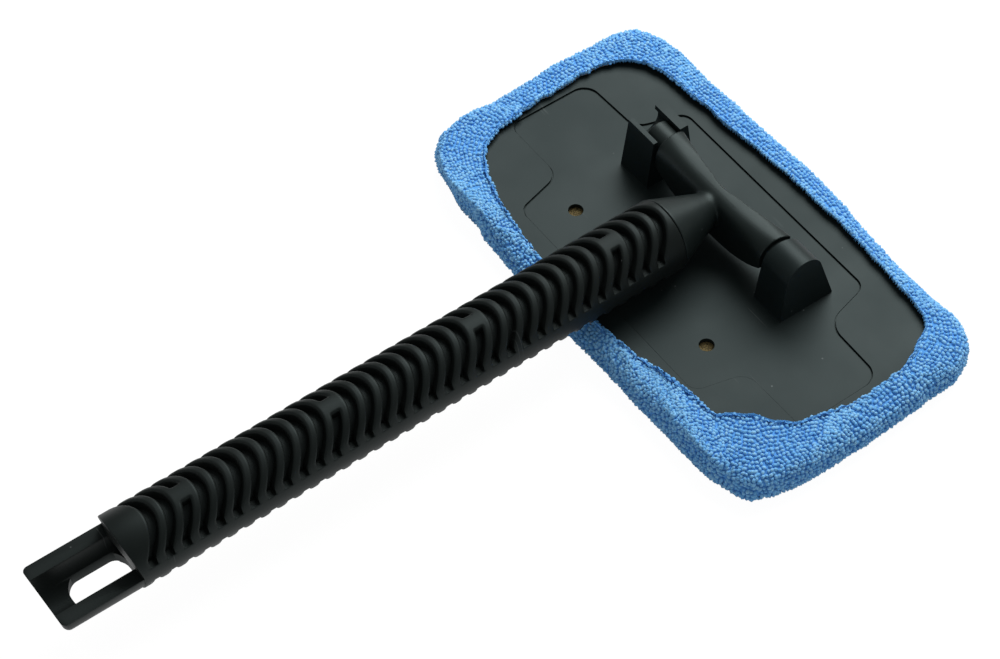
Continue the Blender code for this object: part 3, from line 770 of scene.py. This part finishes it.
# How far the cloth strays from an even one, as (place, outwards, hem's reach, upwards) in millimetres.
# The places are the points of even_ring, from the far end of the socket side and round by the far side.
SLACK = (
    (0, -1.9, 1.0, 0.2), (6, -0.5, 2.5, 0.3), (12, 0.3, 2.4, 0.3), (18, 1.1, -1.0, 0.0),
    (24, 0.6, 0.1, 0.0), (30, -2.9, -0.4, 0.0), (36, -2.9, -2.0, 0.0), (42, -1.5, -2.7, 0.0),
    (48, 0.2, -3.4, 0.2), (54, 2.0, -2.3, 0.3), (60, 2.7, -2.4, 0.3), (66, 2.0, -1.3, 0.2),
    (72, 0.7, -0.3, 0.0), (78, 0.6, 1.8, 0.1), (84, -1.6, 1.8, 0.2), (90, -3.2, 4.6, 0.4),
    (96, -2.2, 4.3, 0.4), (102, 1.2, 2.6, 0.2), (108, 4.2, 1.2, 0.0), (114, 2.7, 0.9, 0.2),
    (120, 1.2, 0.3, 0.0), (126, 2.3, 0.2, 0.2), (132, 1.9, 1.3, 0.2), (138, 0.2, 1.2, 0.0),
    (144, -1.4, 2.6, 0.2), (150, -0.7, 5.0, 0.4), (156, 0.2, 3.3, 0.2), (162, -0.3, 4.3, 0.2),
    (168, -2.4, 8.0, 0.4), (174, -3.0, 9.0, 0.5), (180, -2.4, 5.8, 0.3), (186, 0.6, 2.2, 0.0),
    (192, 2.1, 0.3, 0.0), (198, 2.8, -0.6, 0.0), (204, 3.1, -1.6, 0.0), (210, 3.2, -2.3, 0.0),
    (216, 2.6, -2.5, 0.0), (222, 3.6, -0.1, 0.0), (228, 3.6, 1.8, 0.3), (231, 2.0, 3.8, 0.6),
    (234, 1.6, 6.8, 1.1), (237, 0.3, 9.6, 1.6), (240, -1.2, 12.6, 2.1), (243, -1.3, 14.0, 2.0),
    (246, -0.8, 11.8, 1.2), (249, 0.8, 5.6, 0.2), (252, 2.2, 7.4, 1.1), (255, 2.2, 9.0, 2.1),
    (258, 1.5, 5.8, 1.0), (261, 0.0, 4.0, 0.8), (264, -1.4, 4.2, 0.8), (267, -0.4, 3.2, 0.6),
    (270, 0.4, 1.4, 0.4), (276, 1.7, -0.5, 0.0), (282, 0.9, -0.6, 0.0), (288, 0.3, 0.0, 0.1),
    (294, -1.3, 0.6, 0.2),
)


def even_ring(half_x, half_y, radii, shift):
    """A dense rounded rectangle whose points match those of every other one by their order."""
    signs = ((1, 1), (-1, 1), (-1, -1), (1, -1))
    corners = []
    for (sx, sy), radius, start in zip(signs, radii, (0, 90, 180, 270)):
        centre = (sx * (half_x - radius), sy * (half_y - radius) + shift)
        corners.append(np.array(arc(centre, radius, start, start + 90, 28)))
    points = []
    for k, corner in enumerate(corners):
        points.append(corner)
        parts = 64 if k % 2 == 0 else 28
        shares = np.arange(1, parts)[:, None] / parts
        points.append(corner[-1] + (corners[(k + 1) % 4][0] - corner[-1]) * shares)
    return np.concatenate(points)


def spline(points, parts):
    """A smooth line through points, with extra points between each two."""
    points = np.asarray(points, dtype=float)
    padded = np.concatenate([2 * points[:1] - points[1:2], points, 2 * points[-1:] - points[-2:-1]])
    line = []
    for k in range(len(points) - 1):
        a, b, c, d = padded[k : k + 4]
        for t in np.arange(parts) / parts:
            square, cube = 2 * a - 5 * b + 4 * c - d, 3 * b - 3 * c + d - a
            line.append(0.5 * (2 * b + (c - a) * t + square * t**2 + cube * t**3))
    line.append(points[-1])
    return np.array(line)


def slack_round(count):
    """The cloth's slack at each point round the rim: outwards, hem's reach and upwards."""
    table = np.array(SLACK)
    places = np.arange(count)
    return [np.interp(places, table[:, 0], table[:, k], period=count) * MM for k in (1, 2, 3)]


def cover_surface():
    """The pile's tips as an array of points: round the cover, then from its flat face over to the hem.

    Returns those points, the pile's depth and its overhang at each, and the cloth's inner points.
    """
    rim = even_ring(COVER_HALF_LENGTH, COVER_HALF_WIDTH, (COVER_CORNER,) * 4, 0.0)
    lip = even_ring(OPENING_HALF_LENGTH, OPENING_HALF_WIDTH, OPENING_CORNERS, OPENING_SHIFT)
    rim_sizes = (COVER_HALF_LENGTH, COVER_HALF_WIDTH, COVER_CORNER)
    half_x, half_y, corner = (size - COVER_WALL for size in rim_sizes)
    wall = even_ring(half_x, half_y, (corner,) * 4, 0.0)
    strays, reaches, rises = slack_round(len(rim))
    waves = rng.uniform(0, 2 * math.pi, 4)
    tips, depths, overhangs, inner = [], [], [], []
    for k, (outer, edge, side) in enumerate(zip(rim, lip, wall)):
        turn = 2 * math.pi * k / len(rim)
        ripple = 0.35 * MM * (math.sin(43 * turn + waves[0]) + 0.7 * math.sin(71 * turn + waves[1]))
        sway = 0.25 * MM * (math.sin(31 * turn + waves[2]) + 0.8 * math.sin(57 * turn + waves[3]))
        press = max(0.0, 1.0 - abs(outer[0]) / HEM_PRESS_REACH) if outer[1] < 0 else 0.0
        calm = (1.0 - press) * (0.5 if outer[1] > 0.6 * COVER_HALF_WIDTH else 1.0)
        # The shoulder is rounder towards the socket end and the handle
        slump = min(1.0, max(0.0, 0.5 + (0.81 * outer[0] - 0.59 * outer[1]) / (60 * MM)))
        tuck = TUCK_DEPTH * math.exp(-(((k - TUCK_PLACE) / TUCK_SPREAD) ** 4))
        inwards = edge - outer
        width = np.linalg.norm(inwards)
        inwards = inwards / width
        width += reaches[k] + ripple * calm
        out = strays[k] + sway * calm
        lift = FAR_HEM_LIFT * min(1.0, max(0.0, outer[1] / COVER_HALF_WIDTH - 0.6) / 0.4)
        top = HEM_TOP + lift + (HEM_PRESSED_TOP - HEM_TOP) * press + (rises[k] + 0.4 * sway) * calm
        lip_radius = (top - lift - HEM_UNDERSIDE) / 2
        crown = min((6.6 + 4.2 * slump) * MM, width - lip_radius - 0.6 * MM)
        section = spline(
            [
                (FLAT_FACE_INSET, 0.0),
                (5.6 * MM - 0.3 * out + 0.72 * tuck, 0.35 * MM),
                (2.0 * MM - 0.7 * out + tuck, 2.2 * MM),
                (0.2 * MM - out + tuck, 5.0 * MM),
                (-out + 0.9 * tuck, 7.8 * MM),
                (0.4 * MM - out + 0.7 * tuck + 0.2 * MM * slump, 11.0 * MM),
                ((2.2 + 1.0 * slump) * MM - 0.8 * out + 0.15 * tuck, top - (2.2 + 0.7 * slump) * MM),
                (crown, top - 0.6 * rises[k] * slump),
                (width - lip_radius, top),
                (width - 0.3 * lip_radius, top - 0.3 * lip_radius),
                (width, top - lip_radius),
            ],
            SECTION_PARTS,
        )
        tips.append([(*(outer + inwards * depth), z) for depth, z in section])
        places = np.arange(len(section))
        hem_share = np.clip((places - 25) / 10.0, 0.0, 1.0)
        lip_share = np.clip((places - 36) / 8.0, 0.0, 1.0)
        hem = HEM_PILE_DEPTH + (PRESSED_PILE_DEPTH - HEM_PILE_DEPTH) * press
        depth = PILE_DEPTH + (hem - PILE_DEPTH) * hem_share
        depth += (0.5 * lip_radius - depth) * lip_share
        depths.append(np.minimum(depth, COVER_WALL - 0.5 * MM + min(out, 0.0)))
        overhangs.append(0.45 * MM * lip_share * calm)
        low_side = side + inwards * max(0.0, tuck - out - 1.8 * MM)
        inner.append(
            [
                (*(outer + inwards * (width - 0.8 * MM)), HEM_UNDERSIDE + lift),
                (*(side + inwards * 2.4 * MM * slump), HEM_UNDERSIDE - 0.9 * MM * slump),
                (*low_side, COVER_FLOOR + COVER_FLOOR_CORNER),
                (*(low_side + inwards * COVER_FLOOR_CORNER), COVER_FLOOR),
            ]
        )
    return np.array(tips), np.array(depths), np.array(overhangs), np.array(inner)


def surface_normals(points):
    """Outward normals of a surface that closes round its first axis."""
    around = np.roll(points, -1, axis=0) - np.roll(points, 1, axis=0)
    across = np.gradient(points, axis=1)
    normals = np.cross(around, across)
    return normals / np.linalg.norm(normals, axis=2, keepdims=True)


def loop_shape(major, minor, tall):
    """One arch of yarn: the upper half of a small ring, made taller."""
    deselect()
    upright = (math.pi / 2, 0, 0)
    bpy.ops.mesh.primitive_torus_add(
        major_segments=8, minor_segments=6, major_radius=major, minor_radius=minor, rotation=upright
    )
    loop = bpy.context.object
    bpy.ops.object.transform_apply(location=False, rotation=True, scale=False)
    edit(loop, lambda: bpy.ops.mesh.bisect(plane_co=(0, 0, 0), plane_no=(0, 0, 1), clear_inner=True))
    points = np.array([vertex.co for vertex in loop.data.vertices])
    points[:, 2] *= tall
    faces = [list(face.vertices) for face in loop.data.polygons]
    bpy.data.objects.remove(loop, do_unlink=True)
    return points, faces


def plant(name, shape, places, along, up, size, tall, shade, uneven=0.0):
    """One mesh of many copies of a shape, each at its place, turned its own way and a little uneven."""
    points, faces = shape
    count = len(places)
    side = np.cross(up, along)
    side /= np.linalg.norm(side, axis=1, keepdims=True)
    along = np.cross(side, up)
    local = points / MM
    x = local[:, 0][None, :, None] * along[:, None, :] * size[:, None, None]
    y = local[:, 1][None, :, None] * side[:, None, :] * size[:, None, None]
    top = local[:, 2].max()
    z = (local[:, 2] / top)[None, :, None] * up[:, None, :] * tall[:, None, None]
    vertices = (places[:, None, :] + x + y + z).reshape(-1, 3)
    vertices += rng.normal(0.0, uneven, vertices.shape) if uneven else 0.0
    stride = len(points)
    corners = np.array([len(face) for face in faces])
    flat = np.concatenate([np.array(face) for face in faces])
    indices = (flat[None, :] + stride * np.arange(count)[:, None]).reshape(-1)
    starts = np.concatenate([[0], np.cumsum(corners)[:-1]])
    all_starts = (starts[None, :] + corners.sum() * np.arange(count)[:, None]).reshape(-1)
    mesh = bpy.data.meshes.new(name)
    mesh.vertices.add(len(vertices))
    mesh.vertices.foreach_set("co", vertices.astype(np.float32).reshape(-1))
    mesh.loops.add(len(indices))
    mesh.loops.foreach_set("vertex_index", indices.astype(np.int32))
    mesh.polygons.add(len(all_starts))
    mesh.polygons.foreach_set("loop_start", all_starts.astype(np.int32))
    mesh.update(calc_edges=True)
    mesh.shade_smooth()
    rise = np.tile(np.clip(local[:, 2] / top, 0.0, 1.0), count)
    for key, values in (("rise", rise), ("shade", np.repeat(shade, stride))):
        attribute = mesh.attributes.new(key, "FLOAT", "POINT")
        attribute.data.foreach_set("value", values.astype(np.float32))
    piece = bpy.data.objects.new(name, mesh)
    bpy.context.scene.collection.objects.link(piece)
    return piece


def lean(normals, amount):
    """Normals tipped at random."""
    tipped = normals + rng.normal(0.0, amount, normals.shape)
    return tipped / np.linalg.norm(tipped, axis=1, keepdims=True)


def turn_in_plane(along, normals, spread):
    """Directions turned at random about their normals."""
    angles = rng.normal(0.0, spread, len(along))[:, None]
    side = np.cross(normals, along)
    return along * np.cos(angles) + side * np.sin(angles)


def stops_round(line, pitch, spread, start):
    """Uneven steps round a closed line: the points before and after each stop, and its share between them."""
    closed = np.concatenate([line, line[:1]])
    length = np.concatenate([[0.0], np.cumsum(np.linalg.norm(np.diff(closed, axis=0), axis=1))])
    count = int(length[-1] / pitch)
    stops = (np.arange(count) + start + rng.normal(0, spread, count)) * length[-1] / count
    index = np.interp(stops % length[-1], length, np.arange(len(length)))
    here = index.astype(int) % len(line)
    return here, (here + 1) % len(line), (index - index.astype(int))[:, None]


def pile_rows(tips, depths, overhangs, normals):
    """Places, normals, directions, depths and overhangs of the loops, in rows an even distance apart.

    Two more rows follow the lip.
    """
    data = np.concatenate([tips, normals, depths[:, :, None], overhangs[:, :, None]], axis=2)
    steps = np.linalg.norm(np.diff(tips, axis=1), axis=2)
    runs = np.concatenate([np.zeros((len(tips), 1)), np.cumsum(steps, axis=1)], axis=1)
    order = np.arange(len(tips))
    lip_run = runs[:, LIP_ROW]
    starts = np.arange(ROW_PITCH / 2, lip_run.max(), ROW_PITCH)
    rows = [(np.full(len(tips), start), lip_run - ROW_PITCH) for start in starts]
    rows += [(lip_run - 0.65 * ROW_PITCH, lip_run), (lip_run, runs[:, -1])]
    found = []
    for distance, limit in rows:
        low = np.clip((runs <= distance[:, None]).sum(axis=1) - 1, 0, tips.shape[1] - 2)
        share = (distance - runs[order, low]) / steps[order, low]
        row = data[order, low] + (data[order, low + 1] - data[order, low]) * np.minimum(share, 1.0)[:, None]
        here, after, part = stops_round(row[:, :3], LOOP_PITCH, 0.18, rng.uniform(0, 1))
        stand = row[here] * (1 - part) + row[after] * part
        along = row[after, :3] - row[here, :3]
        along /= np.linalg.norm(along, axis=1, keepdims=True)
        inside = limit[here] > distance[here]
        stand, along = stand[inside], along[inside]
        found.append((stand[:, :3], stand[:, 3:6], along, stand[:, 6], stand[:, 7]))
    return [np.concatenate(parts) for parts in zip(*found)]


def face_rows():
    """The same for the flat wiping face, in straight rows along the head."""
    half_x = COVER_HALF_LENGTH - FLAT_FACE_INSET
    half_y = COVER_HALF_WIDTH - FLAT_FACE_INSET
    corner = COVER_CORNER - FLAT_FACE_INSET
    places = []
    for y in np.arange(-half_y + ROW_PITCH / 2, half_y, ROW_PITCH):
        beyond = max(0.0, abs(y) - (half_y - corner))
        reach = half_x - corner + math.sqrt(max(corner**2 - beyond**2, 0.0))
        count = int(2 * reach / LOOP_PITCH)
        x = (np.arange(count) + 0.5 + rng.normal(0, 0.16, count)) * 2 * reach / count - reach
        places.append(np.stack([x, np.full(count, y), np.zeros(count)], axis=1))
    places = np.concatenate(places)
    count = len(places)
    down = np.tile([0.0, 0.0, -1.0], (count, 1))
    return places, down, np.tile([1.0, 0.0, 0.0], (count, 1)), np.full(count, PILE_DEPTH), np.zeros(count)


def make_pile(name, shape, rows, chosen, material):
    """The loops of one side of the cover."""
    places, normals, along, depth, overhang = [part[chosen] for part in rows]
    count = len(places)
    up = lean(normals, 0.24)
    direction = turn_in_plane(along, up, 0.8)
    size = rng.uniform(0.8, 1.22, count)
    proud = np.where(places[:, 2] < 2.5 * MM, 0.0, 0.22 * np.maximum(depth - PRESSED_PILE_DEPTH, 0.0))
    tall = depth + 0.25 * MM + rng.uniform(-1.0, 1.0, count) * proud + overhang
    roots = places - normals * (depth + 0.25 * MM)[:, None]
    piece = plant(name, shape, roots, direction, up, size * MM, tall, rng.uniform(0, 1, count), 0.045 * MM)
    piece.data.materials.append(material)
    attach(piece, "head")
    return piece


def make_cover(ground_material, loops_material):
    """The ground cloth of the cover and the pile on all its sides."""
    tips, depths, overhangs, inner = cover_surface()
    normals = surface_normals(tips)
    if normals[0, 25, 0] < 0:
        normals = -normals
    rings = np.concatenate([tips - normals * depths[:, :, None], inner], axis=1)
    ground = skin("cover_ground", rings, ring_closes=False, rows_close=True)
    smooth(ground, 50.0)
    finish_piece(ground, ground_material, "head", "microfibre_loops", "bonnet")
    shape = loop_shape(0.45 * MM, 0.78 * MM, 1.3)
    rows = pile_rows(tips, depths, overhangs, normals)
    x, y = rows[0][:, 0], rows[0][:, 1]
    middle = np.abs(x) < END_PILE_START
    sides = (
        ("pile_far_edge", middle & (y > 0)),
        ("pile_near_edge", middle & (y <= 0)),
        ("pile_socket_end", x >= END_PILE_START),
        ("pile_clip_end", x <= -END_PILE_START),
    )
    for name, chosen in sides:
        make_pile(name, shape, rows, chosen, loops_material)
    flat = face_rows()
    thirds = np.digitize(flat[0][:, 0], (-37.0 * MM, 37.0 * MM))
    for index, name in enumerate(("pile_face_clip_side", "pile_face_middle", "pile_face_socket_side")):
        make_pile(name, shape, flat, thirds == index, loops_material)
    return tips


def make_hem(tips, thread, elastic):
    """Overcast stitches round the hem's edge, and the elastic under it."""
    edge = tips[:, -1]
    lip = tips[:, LIP_ROW]
    here, after, part = stops_round(edge, 1.5 * MM, 0.1, 0.0)
    count = len(here)
    places = edge[here] * (1 - part) + edge[after] * part
    outwards = lip[here] - edge[here]
    outwards[:, 2] = 0.0
    outwards /= np.linalg.norm(outwards, axis=1, keepdims=True)
    up = np.tile([0.0, 0.0, 1.0], (count, 1)) - 0.5 * outwards
    up /= np.linalg.norm(up, axis=1, keepdims=True)
    height = lip[here, 2] - edge[here, 2]
    shape = loop_shape(0.95 * MM, 0.2 * MM, 1.0)
    roots = places + outwards * 0.75 * MM - up * (0.3 * MM)
    size = np.full(count, 1.0 * MM)
    bare = np.exp(-(((here - 190) / 5.0) ** 2)) + np.exp(-(((here - 278) / 5.0) ** 2))
    shade = np.clip(bare + rng.normal(0, 0.12, count), 0.0, 1.0)
    along = turn_in_plane(outwards, up, 0.25)
    stitches = plant("hem_stitches", shape, roots, along, up, size, height + 0.55 * MM, shade)
    finish_piece(stitches, thread, "head", "edging_thread", "hem_edging")
    rings = []
    for k in range(len(edge)):
        away = lip[k, :2] - edge[k, :2]
        away /= np.linalg.norm(away)
        back = 1.3 * MM if edge[k, 1] > 0.6 * OPENING_HALF_WIDTH else 0.0
        inner, outer = edge[k, :2] + away * (0.9 * MM + back), edge[k, :2] + away * (3.1 * MM + back)
        rib = 0.06 * MM * (k % 2)
        low, high = 14.95 * MM + rib, 15.4 * MM - rib
        rings.append([(*inner, low), (*outer, low), (*outer, high), (*inner, high)])
    band = skin("hem_elastic_band", rings, rows_close=True)
    smooth(band, 30.0)
    finish_piece(band, elastic, "head", "elastic_rubber", "hem_elastic")


def make_sponge(material):
    """The foam block between the cloth and the plate, with soft edges."""
    sponge = block("sponge_block", cover_ring(PAD_INSET, PAD_TUCKED_CORNER), PAD_BOTTOM, PAD_TOP)
    soften(sponge, 1.2 * MM, 3)
    smooth(sponge)
    finish_piece(sponge, material, "head", "sponge", "foam_pad")


# Floor, light and camera


def make_floor():
    """A white floor that still takes the object's shadow."""
    deselect()
    bpy.ops.mesh.primitive_plane_add(size=8.0, location=(0.0, 0.0, -0.1 * MM))
    floor = bpy.context.object
    floor.name = "studio_floor"
    material = bpy.data.materials.new("white_floor")
    material.use_nodes = True
    tree = material.node_tree
    shader = shader_of(material)
    shader.inputs["Base Color"].default_value = (0.75, 0.75, 0.75, 1.0)
    shader.inputs["Roughness"].default_value = 0.9
    glow = tree.nodes.new("ShaderNodeEmission")
    glow.inputs["Strength"].default_value = 1.1
    path = tree.nodes.new("ShaderNodeLightPath")
    mix = tree.nodes.new("ShaderNodeMixShader")
    seen = path.outputs["Is Camera Ray"]
    for ray in ("Is Glossy Ray", "Is Transmission Ray"):
        seen = add_math(tree, "MAXIMUM", seen, path.outputs[ray])
    share = add_math(tree, "MULTIPLY", seen, 0.88)
    tree.links.new(share, mix.inputs["Fac"])
    tree.links.new(shader.outputs["BSDF"], mix.inputs[1])
    tree.links.new(glow.outputs["Emission"], mix.inputs[2])
    tree.links.new(mix.outputs["Shader"], tree.nodes["Material Output"].inputs["Surface"])
    floor.data.materials.append(material)


def area_lamp(name, place, target, size, power):
    data = bpy.data.lights.new(name, "AREA")
    data.shape = "RECTANGLE"
    data.size, data.size_y = size
    data.energy = power
    lamp = bpy.data.objects.new(name, data)
    lamp.location = place
    lamp.rotation_euler = (Vector(target) - Vector(place)).to_track_quat("-Z", "Y").to_euler()
    bpy.context.scene.collection.objects.link(lamp)


def make_studio():
    world = bpy.data.worlds.new("studio")
    world.use_nodes = True
    background = world.node_tree.nodes["Background"]
    background.inputs["Color"].default_value = (1.0, 1.0, 1.0, 1.0)
    background.inputs["Strength"].default_value = 0.3
    bpy.context.scene.world = world
    area_lamp("far_softbox", (-0.45, 0.72, 1.08), (0.0, -0.05, 0.0), (1.1, 0.9), 21.5)
    camera_data = bpy.data.cameras.new("photo_camera")
    camera_data.sensor_width = 36.0
    camera_data.lens = 99.12
    camera_data.clip_start = 0.05
    camera = bpy.data.objects.new("photo_camera", camera_data)
    camera.location = (0.56448, -0.51626, 0.94899)
    aim = Vector((-0.020749, -0.089590, 0.0))
    camera.rotation_euler = (aim - camera.location).to_track_quat("-Z", "Y").to_euler()
    bpy.context.scene.collection.objects.link(camera)
    bpy.context.scene.camera = camera
    bpy.context.scene.view_settings.view_transform = "Standard"


def main():
    grain = moulded_grain_group()
    yarn = yarn_group()
    slate, lifted_slate = (0.006, 0.010, 0.0102), (0.009, 0.014, 0.0143)
    black, lifted_black = (0.006, 0.009, 0.0085), (0.008, 0.012, 0.0115)
    jet, lifted_jet = (0.0055, 0.007, 0.0065), (0.007, 0.0085, 0.008)
    plate_plastic = moulded_plastic("plate_plastic", grain, slate, lifted_slate, 0.48, 0.55, 0.25, 0.27)
    yoke_plastic = moulded_plastic("yoke_plastic", grain, black, lifted_black, 0.44, 0.51, 0.2, 0.29)
    handle_plastic = moulded_plastic("handle_plastic", grain, jet, lifted_jet, 0.46, 0.54, 0.2, 0.2)
    make_plate(plate_plastic)
    make_yoke(yoke_plastic)
    make_handle(handle_plastic)
    ground_blues = (0.08, 0.34, 0.78), (0.12, 0.4, 0.84)
    thread_blues = (0.16, 0.48, 0.88), (0.55, 0.74, 0.9)
    elastic_greys = (0.5, 0.53, 0.56), (0.68, 0.7, 0.72)
    ground = textile("knitted_ground", yarn, 0.9, 1800.0, ground_blues, 0.8, 0.2 * MM)
    tips = make_cover(ground, pile_material(yarn))
    thread = textile("edging_thread", yarn, 0.7, 4200.0, thread_blues, 0.6, 0.1 * MM, shaded=True)
    elastic = textile("elastic_rubber", yarn, 0.65, 2500.0, elastic_greys, 0.5, 0.1 * MM)
    make_hem(tips, thread, elastic)
    make_sponge(sponge_material())
    make_floor()
    make_studio()


main()
